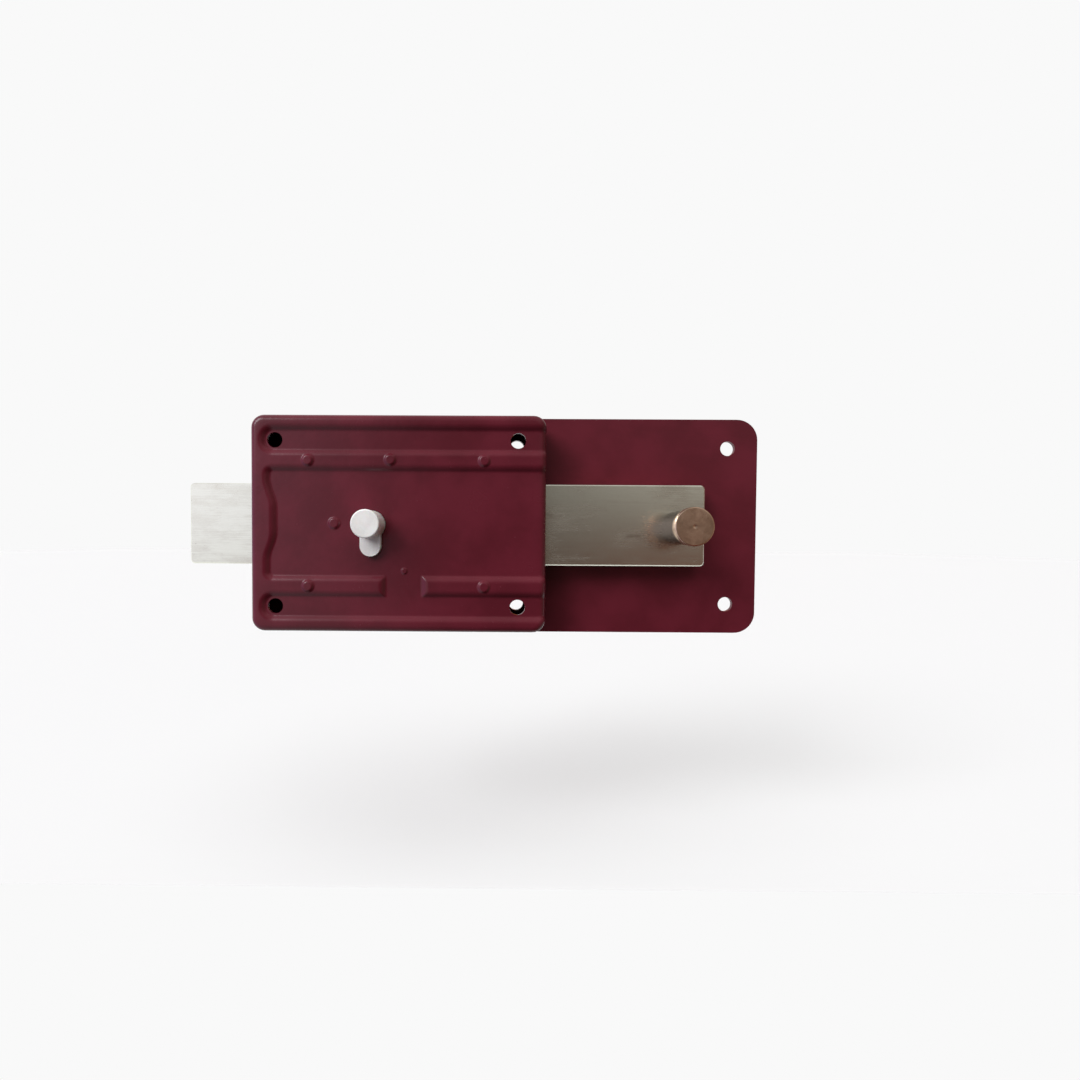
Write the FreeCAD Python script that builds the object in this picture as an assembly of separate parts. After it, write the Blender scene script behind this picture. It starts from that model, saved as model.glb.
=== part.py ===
import FreeCAD, Part
import math
import os

from FreeCAD import Vector

# Rim lock for the inside face of a door: a flat bolt slides in a pressed steel case,
# moved by a knob from inside and by a round key cylinder from outside.
# X runs along the bolt, Z is up, and the room lies toward -Y.
# The origin is the middle of the case's four fixing holes, on the face that meets the door.
# A level is a height above the plate's room face, so the door side has negative levels.

# Back plate
PLATE_LENGTH = 243.9
PLATE_HEIGHT = 104.0
PLATE_THICK = 2.3
PLATE_CORNER = 10.0
PLATE_EDGE = 15.9          # from the bolt's edge of the plate to the first fixing holes
FIXING_SPAN = 111.1        # between the case's fixing holes, along the plate
FIXING_RISE = 75.9         # between the lower and the upper fixing holes
FIXING_HOLE = 7.0
TAIL_HOLES = 102.5         # from the case's second pair of holes to the pair at the far end

# Pressed case cover
CASE_INSET = 5.8           # the case's end wall stands back from the plate's edge
CASE_LENGTH = 134.2
CASE_HEIGHT = 98.1
CASE_DEPTH = 20.8
CASE_CORNER = 6.0
SHOULDER = 3.0
SHEET = 1.5
RELIEF = 1.5               # depth, and the run of the slope, of the channels and the field
CHANNEL = 12.0             # the channel that the fixing screws sit in
CHANNEL_ROUND = 0.9        # its end corners, as a share of half its width
BAND = 6.5                 # the raised bands between the channels and the middle field
BORDER = 6.0               # raised border at the bolt's end
BORDER_SWELL = 3.2
SWELL_RISE = 12.0
SWELL_CENTRE = 3.0
SWELL_BEND = 6.0
FIELD_CORNER = 3.0
BAND_GAP = (-6.4, 13.3)    # where the lower band is broken
TAB_HEIGHT = 10.9
TAB_CENTRE = 28.6
DIMPLE = 6.0
DIMPLE_TOP = 4.4
DIMPLE_HEIGHT = 0.8
FIELD_DIMPLES = ((-2.6, 29.0), (-27.6, 0.7), (3.7, -21.6))

# Screwed pillars between the plate and the cover
PILLAR_SPAN = 80.3
PILLAR_RISE = 57.3
PILLAR = 8.0
PILLAR_NECK = 4.4
SCREW = 4.0
SCREW_HEAD = 7.0
SCREW_HEAD_DEPTH = 1.7
SCREW_REACH = 8.0
RECESS_ARM = 1.8           # cross recess: half its length, half its width and its depth
RECESS_HALF = 0.5
RECESS_DEPTH = 1.2

# Bolt
BOLT_LENGTH = 242.4
BOLT_HEIGHT = 38.0
BOLT_THICK = 9.1
BOLT_LIFT = 1.9            # gap between the plate and the bolt
BOLT_CORNER = 2.0
BOLT_EDGE = 0.5
BOLT_OUT = 27.4            # how far the bolt stands out of the plate's edge as shown
THROW = 20.0               # one turn of the key
THROWS = 4
DRIVE_NOTCH = 9.0
DRIVE_NOTCH_DEPTH = 6.6
DRIVE_NOTCH_ROUND = 2.0
LATCH_NOTCH_DEPTH = 5.0
GUIDE_PIN = 6.2
GUIDE_FROM_TIP = 125.8
GUIDE_SLACK = 2.1          # slot left over past each end of the pin's run
SPIGOT = 5.0
SPIGOT_DEPTH = 5.0

# Knob riveted near the bolt's tail
KNOB_FROM_TAIL = 12.6
KNOB_HEIGHT = 24.0
KNOB_SHANK = 15.8
KNOB_HEAD = 18.4
KNOB_HEAD_THICK = 4.2
KNOB_CHAMFER = 0.8
KNOB_GROOVE = 0.5

# Key cylinder
CYLINDER = 29.6
CYLINDER_LENGTH = 53.0
CYLINDER_X = -2.4
CYLINDER_Z = 21.9
CYLINDER_EDGE = 0.5
PLUG = 17.2
PLUG_OFFSET = 4.9          # the plug sits above the cylinder's own axis
PLUG_TAIL = 10.0
PINS = 5
FIRST_PIN = 5.5
PIN_PITCH = 4.1
PIN = 2.8
PIN_LENGTHS = (5.4, 6.6, 5.9, 7.1, 6.2)
PIN_POINT = 0.7
DRIVER_LENGTH = 4.2
CHAMBER_CAP = 1.5
SPRING_WIRE = 0.35
SPRING_COILS = 3
SPRING_BENDS = 8           # straight runs in one coil of the fine wire
CYLINDER_SCREW_SPAN = 19.0
CYLINDER_SCREW_DROP = 6.2
CYLINDER_SCREW_REACH = 10.0
KEYWAY_DEPTH = 30.0
KEYWAY_TOP = 1.4           # metal left above the keyway
KEYWAY_MOUTH = 1.3
KEYWAY_WEB = 0.3           # the wards step past the middle by this much
KEYWAY_BELLY = 1.5
KEYWAY_FOOT = 0.9
KEYWAY_RISE = 11.3

# Cam on the plug's tail
CAM_REACH = 13.3
CAM_FINGER = 6.0
CAM_HUB = 14.0
CAM_THICK = 5.0
CAM_COLLAR = 1.9
CAM_SQUARE = 6.4
CLIP = 10.0
CLIP_THICK = 0.8
CLIP_GROOVE = 4.8
CLIP_MOUTH = 0.8           # a clip's opening, as a share of the groove it sits in
TAIL_NECK = 6.4

# Release button and its leaf spring
BUTTON_X = -11.5
BUTTON_Z = -0.4
BUTTON = 12.7
BUTTON_RISE = 13.7         # from the field to the button's face
LOBE = 9.4
LOBE_DROP = 9.8
LOBE_RISE = 2.7
BUTTON_EDGE = 0.7
BUTTON_PLAY = 0.25
FLANGE = 1.3
FLANGE_OVERLAP = 1.2
RAMP_SLOPE = 0.7
RAMP_WIDTH = 3.0
LEAF = 0.5
LEAF_WIDTH = 6.0
LEAF_STEP = 2.0
RIVET = 3.0
RIVET_HEAD = 5.0
RIVET_HEAD_THICK = 1.0

# Latch lever that the button lifts out of the bolt
LEVER_THICK = 1.5
LEVER_LIFT = 0.5           # gap between the bolt's face and the lever
LEVER_EYE = 10.0
LEVER_ARM = 25.1
LEVER_BAR = 6.6
LEVER_PIVOT = (3.7, -21.6)
PIVOT_PIN = 4.5
PIVOT_NECK = 3.4
LATCH_PIN = 5.0
LATCH_NECK = 3.0
LEVER_LEAF = 0.6
LEVER_LEAF_WIDTH = 4.0

# Inspection label stuck to the door side, left blank
LABEL_LENGTH = 38.0
LABEL_HEIGHT = 17.2
LABEL_THICK = 0.15
LABEL_CORNER = (31.0, -9.6)
LABEL_TILT = 4.0

# Clearances
RUNNING = 0.05
FREE = 0.3
SEAT = 0.03
OVER = 1.0                 # how far a cutting shape runs past the metal

plate_left = -FIXING_SPAN / 2 - PLATE_EDGE
plate_right = plate_left + PLATE_LENGTH
case_left = plate_left + CASE_INSET
case_right = case_left + CASE_LENGTH
low_face = CASE_DEPTH - RELIEF
ceiling = low_face - SHEET
bolt_face = BOLT_LIFT + BOLT_THICK
bolt_tip = plate_left - BOLT_OUT
bolt_tail = bolt_tip + BOLT_LENGTH
bolt_edge_z = BOLT_HEIGHT / 2
bolt_travel = THROW * THROWS
travel_out = bolt_travel - BOLT_OUT
plug_z = CYLINDER_Z + PLUG_OFFSET
cylinder_end = -PLATE_THICK - CYLINDER_LENGTH
lever_level = bolt_face + LEVER_LIFT
lever_top = lever_level + LEVER_THICK
latch_x = LEVER_PIVOT[0] - LEVER_ARM
latch_z = -bolt_edge_z - FREE - LATCH_PIN / 2
guide_x = bolt_tip + GUIDE_FROM_TIP
knob_x = bolt_tail - KNOB_FROM_TAIL
lobe_z = BUTTON_Z - LOBE_DROP
button_face = low_face + BUTTON_RISE
flange_top = ceiling - 2 * RUNNING
flange_bottom = flange_top - FLANGE


def level_y(level):
    return -PLATE_THICK - level


def disc(x, z, diameter, low, high):
    """Round bar across the lock between two levels."""
    start = Vector(x, level_y(high), z)
    return Part.makeCylinder(diameter / 2, high - low, start, Vector(0, 1, 0))


def flare(x, z, low_diameter, high_diameter, low, high):
    """Cone across the lock between two levels."""
    start = Vector(x, level_y(high), z)
    return Part.makeCone(high_diameter / 2, low_diameter / 2, high - low, start, Vector(0, 1, 0))


def block(x0, x1, z0, z1, low, high):
    corner = Vector(x0, level_y(high), z0)
    return Part.makeBox(x1 - x0, high - low, z1 - z0, corner)


def prism(wire, low, high):
    """Solid between two levels over an outline drawn in the XZ plane."""
    face = Part.Face(wire)
    face.translate(Vector(0, level_y(high), 0))
    return face.extrude(Vector(0, high - low, 0))


def rounded(corners):
    """Closed XZ outline through corners given as x, z and the radius there."""
    points = [Vector(x, 0, z) for x, z, _ in corners]
    edges = []
    ends = []
    for index, (_, _, radius) in enumerate(corners):
        here = points[index]
        back = (points[index - 1] - here).normalize()
        ahead = (points[(index + 1) % len(points)] - here).normalize()
        if radius <= 0:
            ends.append((here, here, None))
            continue
        half = back.getAngle(ahead) / 2
        entry = here + back * (radius / math.tan(half))
        leave = here + ahead * (radius / math.tan(half))
        inward = (back + ahead).normalize()
        middle = here + inward * (radius / math.sin(half) - radius)
        ends.append((entry, leave, middle))
    for index, (entry, leave, middle) in enumerate(ends):
        if middle is not None:
            edges.append(Part.Arc(entry, middle, leave).toShape())
        following = ends[(index + 1) % len(ends)][0]
        if leave.distanceToPoint(following) > 1e-6:
            edges.append(Part.LineSegment(leave, following).toShape())
    return Part.Wire(edges)


def rectangle(x0, x1, z0, z1, radius=0.0):
    return rounded([(x0, z0, radius), (x1, z0, radius), (x1, z1, radius), (x0, z1, radius)])


def slot(x0, x1, z, width):
    """Outline of a round-ended slot that lies along X."""
    half = width / 2
    right = Part.Arc(Vector(x1 - half, 0, z - half), Vector(x1, 0, z), Vector(x1 - half, 0, z + half))
    left = Part.Arc(Vector(x0 + half, 0, z + half), Vector(x0, 0, z), Vector(x0 + half, 0, z - half))
    top = Part.LineSegment(Vector(x1 - half, 0, z + half), Vector(x0 + half, 0, z + half))
    bottom = Part.LineSegment(Vector(x0 + half, 0, z - half), Vector(x1 - half, 0, z - half))
    return Part.Wire([right.toShape(), top.toShape(), left.toShape(), bottom.toShape()])


def level_edges(shape, level):
    """Edges of a shape that lie wholly at one level."""
    wanted = level_y(level)
    chosen = []
    for edge in shape.Edges:
        box = edge.BoundBox
        if abs(box.YMin - wanted) < 1e-4 and abs(box.YMax - wanted) < 1e-4:
            chosen.append(edge)
    return chosen


def pillar_places():
    return [(x, z) for x in (-PILLAR_SPAN / 2, PILLAR_SPAN / 2)
            for z in (-PILLAR_RISE / 2, PILLAR_RISE / 2)]


def fixing_places():
    return [(x, z) for x in (-FIXING_SPAN / 2, FIXING_SPAN / 2)
            for z in (-FIXING_RISE / 2, FIXING_RISE / 2)]


def tail_places():
    x = FIXING_SPAN / 2 + TAIL_HOLES
    return [(x, -FIXING_RISE / 2), (x, FIXING_RISE / 2)]


def cylinder_screw_places():
    z = CYLINDER_Z - CYLINDER_SCREW_DROP
    return [(CYLINDER_X - CYLINDER_SCREW_SPAN / 2, z), (CYLINDER_X + CYLINDER_SCREW_SPAN / 2, z)]


def tab_places():
    """Left and right side of each end wall's tabs, and the tab's middle height."""
    walls = ((case_left, case_left + SHEET), (case_right - SHEET, case_right))
    return [(x0, x1, z) for x0, x1 in walls for z in (-TAB_CENTRE, TAB_CENTRE)]


def pin_levels():
    return [cylinder_end + FIRST_PIN + PIN_PITCH * index for index in range(PINS)]


def build_back_plate():
    half = PLATE_HEIGHT / 2
    plate = prism(rectangle(plate_left, plate_right, -half, half, PLATE_CORNER), -PLATE_THICK, 0)
    cuts = []
    for x, z in fixing_places() + tail_places():
        cuts.append(disc(x, z, FIXING_HOLE, -PLATE_THICK - OVER, OVER))
    for x, z in pillar_places():
        cuts.append(disc(x, z, SCREW + 2 * FREE, -PLATE_THICK - OVER, OVER))
        cuts.append(flare(x, z, SCREW_HEAD + 2 * SEAT, SCREW + 2 * SEAT,
                          -PLATE_THICK, -PLATE_THICK + SCREW_HEAD_DEPTH))
    for x, z in cylinder_screw_places():
        cuts.append(disc(x, z, SCREW + 2 * FREE, -PLATE_THICK - OVER, OVER))
        cuts.append(flare(x, z, SCREW + 2 * SEAT, SCREW_HEAD + 2 * SEAT, -SCREW_HEAD_DEPTH, 0))
    for x0, x1, z in tab_places():
        rise = TAB_HEIGHT / 2 + FREE / 2
        cuts.append(block(x0 - FREE / 2, x1 + FREE / 2, z - rise, z + rise, -PLATE_THICK - OVER, OVER))
    reach = GUIDE_PIN / 2 + GUIDE_SLACK
    guide = slot(guide_x - travel_out - reach, guide_x + BOLT_OUT + reach, 0, GUIDE_PIN + FREE)
    cuts.append(prism(guide, -PLATE_THICK - OVER, OVER))
    cuts.append(disc(CYLINDER_X, plug_z, PLUG_TAIL + 4 * FREE, -PLATE_THICK - OVER, OVER))
    return plate.cut(cuts)


def low_outlines():
    """Outlines of everything in the cover's face that lies one relief step lower."""
    past = case_right + SHOULDER
    half = CHANNEL / 2
    row = FIXING_RISE / 2
    end = -FIXING_SPAN / 2 - half
    soft = half * CHANNEL_ROUND
    outlines = []
    for z in (-row, row):
        outlines.append(rounded([(past, z - half, 0), (past, z + half, 0), (end, z + half, soft),
                                 (end, z - half, soft)]))
    top = row - half - BAND
    left = case_left + BORDER
    swell = left + BORDER_SWELL
    high = SWELL_CENTRE + SWELL_RISE
    low = SWELL_CENTRE - SWELL_RISE
    bend = SWELL_RISE / 3
    outlines.append(rounded([(past, -top, 0), (past, top, 0), (left, top, FIELD_CORNER),
                             (left, high + bend, SWELL_BEND), (swell, high - bend, SWELL_BEND),
                             (swell, low + bend, SWELL_BEND), (left, low - bend, SWELL_BEND),
                             (left, -top, FIELD_CORNER)]))
    outlines.append(rectangle(BAND_GAP[0], BAND_GAP[1], -row, -top + OVER))
    return outlines


def keyhole(grow):
    """Outline of the release button where it passes the cover: a disc with a smaller lobe below."""
    head = Part.makeCylinder(BUTTON / 2 + grow, 1, Vector(BUTTON_X, 0, BUTTON_Z), Vector(0, 1, 0))
    lobe = Part.makeCylinder(LOBE / 2 + grow, 1, Vector(BUTTON_X, 0, lobe_z), Vector(0, 1, 0))
    half = LOBE / 2 + grow
    waist = Part.makeBox(2 * half, 1, LOBE_DROP, Vector(BUTTON_X - half, 0, lobe_z))
    joined = head.fuse([lobe, waist]).removeSplitter()
    bottom = min(joined.Faces, key=lambda face: face.CenterOfMass.y)
    return bottom.OuterWire


def build_case_cover():
    half = CASE_HEIGHT / 2
    outside = prism(rectangle(case_left, case_right, -half, half, CASE_CORNER), 0, CASE_DEPTH)
    outside = outside.makeFillet(SHOULDER, level_edges(outside, CASE_DEPTH))
    inside = prism(rectangle(case_left + SHEET, case_right - SHEET, -half + SHEET, half - SHEET,
                             CASE_CORNER - SHEET), -OVER, CASE_DEPTH - SHEET)
    inside = inside.makeChamfer(SHOULDER - SHEET, level_edges(inside, CASE_DEPTH - SHEET))
    tools = [prism(outline.makeOffset2D(FREE), low_face, CASE_DEPTH + OVER) for outline in low_outlines()]
    lowered = tools[0].fuse(tools[1:]).removeSplitter()
    lowered = lowered.makeChamfer(RELIEF + FREE, level_edges(lowered, low_face))
    around = SHEET * (math.sqrt(2) - 1)
    linings = [prism(outline.makeOffset2D(around), ceiling, CASE_DEPTH) for outline in low_outlines()]
    inside = inside.cut(linings)
    cover = outside.cut(lowered).cut(inside)
    additions = []
    for x0, x1, z in tab_places():
        rise = TAB_HEIGHT / 2
        additions.append(block(x0, x1, z - rise, z + rise, -PLATE_THICK, OVER))
    for x, z in pillar_places():
        additions.append(dimple(x, z, CASE_DEPTH))
    for x, z in FIELD_DIMPLES:
        on_band = abs(z) > FIXING_RISE / 2 - CHANNEL / 2 - BAND
        additions.append(dimple(x, z, CASE_DEPTH if on_band else low_face))
    cover = cover.fuse(additions)
    cuts = []
    mouth = bolt_edge_z + FREE
    cuts.append(block(case_left - OVER, case_right + OVER, -mouth, mouth, -OVER, bolt_face + FREE))
    for x, z in fixing_places():
        cuts.append(disc(x, z, FIXING_HOLE, ceiling - OVER, CASE_DEPTH))
    cuts.append(prism(keyhole(BUTTON_PLAY), ceiling - OVER, CASE_DEPTH))
    for x, z in pillar_places():
        cuts.append(disc(x, z, PILLAR_NECK + 2 * SEAT, ceiling - OVER, CASE_DEPTH - SHEET / 2))
    rivet_x, rivet_z = FIELD_DIMPLES[1]
    cuts.append(disc(rivet_x, rivet_z, RIVET + 2 * SEAT, ceiling - OVER, low_face - SHEET / 2))
    pivot_x, pivot_z = LEVER_PIVOT
    cuts.append(disc(pivot_x, pivot_z, PIVOT_NECK + 2 * SEAT, ceiling - OVER, low_face - SHEET / 2))
    return cover.cut(cuts)


def dimple(x, z, level):
    """Shallow round swelling pressed out over a riveted end."""
    core = disc(x, z, DIMPLE_TOP, level - SHEET / 4, level + DIMPLE_HEIGHT)
    return flare(x, z, DIMPLE, DIMPLE_TOP, level, level + DIMPLE_HEIGHT).fuse(core)


def build_cover_pillar(x, z):
    body = disc(x, z, PILLAR, 0, ceiling)
    neck = disc(x, z, PILLAR_NECK, ceiling - OVER, CASE_DEPTH - SHEET / 2)
    bore = disc(x, z, SCREW + 2 * SEAT, -OVER, SCREW_REACH + OVER)
    return body.fuse(neck).cut(bore).removeSplitter()


def countersunk_screw(x, z, face, inward, reach):
    """Countersunk screw with a cross recess; face is its head's level, inward is +1 or -1."""
    depth = SCREW_HEAD_DEPTH
    if inward > 0:
        head = flare(x, z, SCREW_HEAD, SCREW, face, face + depth)
        shank = disc(x, z, SCREW, face + depth / 2, face + PLATE_THICK + reach)
    else:
        head = flare(x, z, SCREW, SCREW_HEAD, face - depth, face)
        shank = disc(x, z, SCREW, face - PLATE_THICK - reach, face - depth / 2)
    arm = RECESS_ARM
    half = RECESS_HALF
    bottom = min(face, face + inward * RECESS_DEPTH)
    top = max(face, face + inward * RECESS_DEPTH)
    recess = [block(x - arm, x + arm, z - half, z + half, bottom, top),
              block(x - half, x + half, z - arm, z + arm, bottom, top)]
    return head.fuse(shank).cut(recess).removeSplitter()


def build_plate_screws():
    return Part.makeCompound([countersunk_screw(x, z, -PLATE_THICK, 1, SCREW_REACH)
                              for x, z in pillar_places()])


def build_cylinder_screws():
    return Part.makeCompound([countersunk_screw(x, z, 0, -1, CYLINDER_SCREW_REACH)
                              for x, z in cylinder_screw_places()])


def build_bolt():
    edge = bolt_edge_z
    bar = prism(rectangle(bolt_tip, bolt_tail, -edge, edge, BOLT_CORNER), BOLT_LIFT, bolt_face)
    bar = bar.makeChamfer(BOLT_EDGE, level_edges(bar, bolt_face) + level_edges(bar, BOLT_LIFT))
    cuts = []
    mouth = DRIVE_NOTCH / 2
    for turn in range(THROWS):
        x = CYLINDER_X - BOLT_OUT + THROW * (turn + 0.5)
        cuts.append(prism(rounded([(x - mouth, edge - DRIVE_NOTCH_DEPTH, DRIVE_NOTCH_ROUND),
                                   (x + mouth, edge - DRIVE_NOTCH_DEPTH, DRIVE_NOTCH_ROUND),
                                   (x + mouth + OVER, edge + OVER, 0),
                                   (x - mouth - OVER, edge + OVER, 0)]), 0, bolt_face + OVER))
    throat = LATCH_PIN / 2 + FREE
    for turn in range(THROWS + 1):
        x = latch_x - BOLT_OUT + THROW * turn
        top = -edge + LATCH_NOTCH_DEPTH
        cuts.append(prism(rounded([(x - throat, -edge - OVER, 0), (x + throat, -edge - OVER, 0),
                                   (x + throat, top, throat * 0.98),
                                   (x - throat, top, throat * 0.98)]), 0, bolt_face + OVER))
    cuts.append(disc(guide_x, 0, SPIGOT + 2 * SEAT, 0, BOLT_LIFT + SPIGOT_DEPTH))
    cuts.append(disc(knob_x, 0, SPIGOT + 2 * SEAT, bolt_face - SPIGOT_DEPTH, bolt_face + OVER))
    return bar.cut(cuts)


def turned(x, z, profile):
    """Turned piece from radius and level pairs, revolved about a line across the lock."""
    points = [Vector(x + radius, level_y(level), z) for radius, level in profile]
    points.append(points[0])
    face = Part.Face(Part.makePolygon(points))
    return face.revolve(Vector(x, 0, z), Vector(0, 1, 0), 360)


def build_bolt_knob():
    top = bolt_face + KNOB_HEIGHT
    under = top - KNOB_HEAD_THICK
    shank = KNOB_SHANK / 2
    head = KNOB_HEAD / 2
    bottom = bolt_face - SPIGOT_DEPTH + FREE
    return turned(knob_x, 0, [
        (0, bottom), (SPIGOT / 2, bottom), (SPIGOT / 2, bolt_face), (shank, bolt_face),
        (shank, under - 2 * KNOB_GROOVE), (shank - KNOB_GROOVE, under - KNOB_GROOVE),
        (shank - KNOB_GROOVE, under), (head - KNOB_CHAMFER / 2, under),
        (head, under + KNOB_CHAMFER / 2), (head, top - KNOB_CHAMFER),
        (head - KNOB_CHAMFER, top), (0, top)])


def build_guide_pin():
    pin = disc(guide_x, 0, GUIDE_PIN, -PLATE_THICK, BOLT_LIFT)
    spigot = disc(guide_x, 0, SPIGOT, BOLT_LIFT - OVER, BOLT_LIFT + SPIGOT_DEPTH - FREE)
    return pin.fuse(spigot).removeSplitter()


def build_cylinder_body():
    body = disc(CYLINDER_X, CYLINDER_Z, CYLINDER, cylinder_end, -PLATE_THICK)
    body = body.makeChamfer(CYLINDER_EDGE, level_edges(body, cylinder_end))
    cuts = [disc(CYLINDER_X, plug_z, PLUG + 2 * RUNNING, cylinder_end - OVER, OVER)]
    for level in pin_levels():
        cuts.append(chamber(level, CYLINDER_Z - CYLINDER, CYLINDER_Z + CYLINDER, PIN + 2 * RUNNING))
    for x, z in cylinder_screw_places():
        reach = CYLINDER_SCREW_REACH + OVER
        cuts.append(disc(x, z, SCREW + 2 * SEAT, -PLATE_THICK - reach, OVER))
    return body.cut(cuts)


def chamber(level, low_z, high_z, diameter):
    """Round bar that stands up and down through the cylinder at one level."""
    start = Vector(CYLINDER_X, level_y(level), low_z)
    return Part.makeCylinder(diameter / 2, high_z - low_z, start, Vector(0, 0, 1))


def build_cylinder_plug():
    tail_end = BOLT_LIFT + CAM_THICK + CLIP_THICK + 4 * FREE
    square_end = CAM_COLLAR + FREE + CAM_THICK
    body = disc(CYLINDER_X, plug_z, PLUG, cylinder_end, -PLATE_THICK - RUNNING)
    tail = disc(CYLINDER_X, plug_z, PLUG_TAIL, -PLATE_THICK - OVER, FREE + CAM_COLLAR)
    half = CAM_SQUARE / 2
    square = block(CYLINDER_X - half, CYLINDER_X + half, plug_z - half, plug_z + half, 0, square_end)
    neck = disc(CYLINDER_X, plug_z, TAIL_NECK, square_end - OVER, tail_end)
    groove = disc(CYLINDER_X, plug_z, CLIP, square_end, square_end + CLIP_THICK + 2 * SEAT)
    groove = groove.cut(disc(CYLINDER_X, plug_z, CLIP_GROOVE, square_end - OVER, tail_end + OVER))
    cuts = [groove, prism(keyway_outline(), cylinder_end - OVER, cylinder_end + KEYWAY_DEPTH)]
    for level, length in zip(pin_levels(), PIN_LENGTHS):
        top = plug_z - PLUG / 2 + length + 2 * FREE
        cuts.append(chamber(level, CYLINDER_Z - CYLINDER, top, PIN + 2 * RUNNING))
    return body.fuse([tail, square, neck]).removeSplitter().cut(cuts)


def keyway_outline():
    """Stepped key slot, wide at its open top and narrow where the pins reach in."""
    mouth = KEYWAY_MOUTH
    web = KEYWAY_WEB
    belly = KEYWAY_BELLY
    foot = KEYWAY_FOOT
    top = plug_z + PLUG / 2 - KEYWAY_TOP
    step = KEYWAY_RISE / 12
    left = [(-mouth, 0), (-mouth, 3.5), (-web, 4.5), (-web, 6), (-belly, 7), (-belly, 9), (-web, 10)]
    right = [(foot, 9.5), (-web, 8.5), (-web, 7.5), (belly, 6), (belly, 4), (mouth, 3), (mouth, 0)]
    foot_edge = [(-web, 12), (foot, 12)]
    corners = left + foot_edge + right
    return rounded([(CYLINDER_X + x, top - drop * step, 0) for x, drop in corners])


def build_bottom_pin(index):
    """Lower pin, with its domed end at the shear line as the right key leaves it."""
    level = pin_levels()[index]
    foot = plug_z - PLUG / 2 + 2 * RUNNING
    length = PIN_LENGTHS[index]
    pin = chamber(level, foot, foot + length, PIN)
    tip = [edge for edge in pin.Edges if edge.BoundBox.ZMin > foot + length - 1e-4]
    return pin.makeChamfer(PIN_POINT, tip)


def driver_foot():
    return plug_z - PLUG / 2 - RUNNING - 2 * RUNNING - DRIVER_LENGTH


def cap_top():
    return CYLINDER_Z - CYLINDER / 2 + FREE / 2 + CHAMBER_CAP


def build_driver_pin(index):
    foot = driver_foot()
    return chamber(pin_levels()[index], foot, foot + DRIVER_LENGTH, PIN)


def build_chamber_cap(index):
    top = cap_top()
    return chamber(pin_levels()[index], top - CHAMBER_CAP, top, PIN + 2 * RUNNING - 2 * SEAT)


def build_pin_spring(index):
    """Small coil spring between a chamber's cap and its driver pin."""
    wire = SPRING_WIRE / 2
    low = cap_top() + wire + SEAT
    high = driver_foot() - wire - SEAT
    radius = PIN / 2 - wire - SEAT
    bends = []
    for step in range(SPRING_COILS * SPRING_BENDS + 1):
        angle = 2 * math.pi * step / SPRING_BENDS
        rise = (high - low) * step / (SPRING_COILS * SPRING_BENDS)
        bends.append(Vector(radius * math.cos(angle), radius * math.sin(angle), rise))
    section = Part.makePolygon([Vector(radius + x, 0, z) for x, z in
                                ((wire, 0), (0, wire), (-wire, 0), (0, -wire), (wire, 0))])
    coil = Part.makePolygon(bends).makePipeShell([section], True, False, 1)
    coil.translate(Vector(CYLINDER_X, level_y(pin_levels()[index]), low))
    return coil


def build_plug_cam():
    """Cam with one finger, which turns one throw of the bolt for each turn of the key."""
    low = FREE
    collar = disc(CYLINDER_X, plug_z, CAM_HUB, low, low + CAM_COLLAR + CAM_THICK)
    half = CAM_FINGER / 2
    finger = prism(rounded([(CYLINDER_X - half, plug_z, 0), (CYLINDER_X + half, plug_z, 0),
                            (CYLINDER_X + half, plug_z + CAM_REACH, half * 0.8),
                            (CYLINDER_X - half, plug_z + CAM_REACH, half * 0.8)]),
                   low + CAM_COLLAR, low + CAM_COLLAR + CAM_THICK)
    square = CAM_SQUARE / 2 + SEAT
    cuts = [disc(CYLINDER_X, plug_z, PLUG_TAIL + 2 * SEAT, 0, low + CAM_COLLAR),
            block(CYLINDER_X - square, CYLINDER_X + square, plug_z - square, plug_z + square,
                  0, low + CAM_COLLAR + CAM_THICK + OVER)]
    return collar.fuse(finger).removeSplitter().cut(cuts)


def open_ring(x, z, outer, inner, mouth, low, high):
    """Flat retaining ring that is open on its right side."""
    ring = disc(x, z, outer, low, high).cut(disc(x, z, inner, low - OVER, high + OVER))
    return ring.cut(block(x, x + outer, z - mouth / 2, z + mouth / 2, low - OVER, high + OVER))


def build_cam_clip():
    low = FREE + CAM_COLLAR + CAM_THICK + SEAT
    return open_ring(CYLINDER_X, plug_z, CLIP, CLIP_GROOVE + 2 * SEAT, CLIP_GROOVE * CLIP_MOUTH,
                     low, low + CLIP_THICK)


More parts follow.
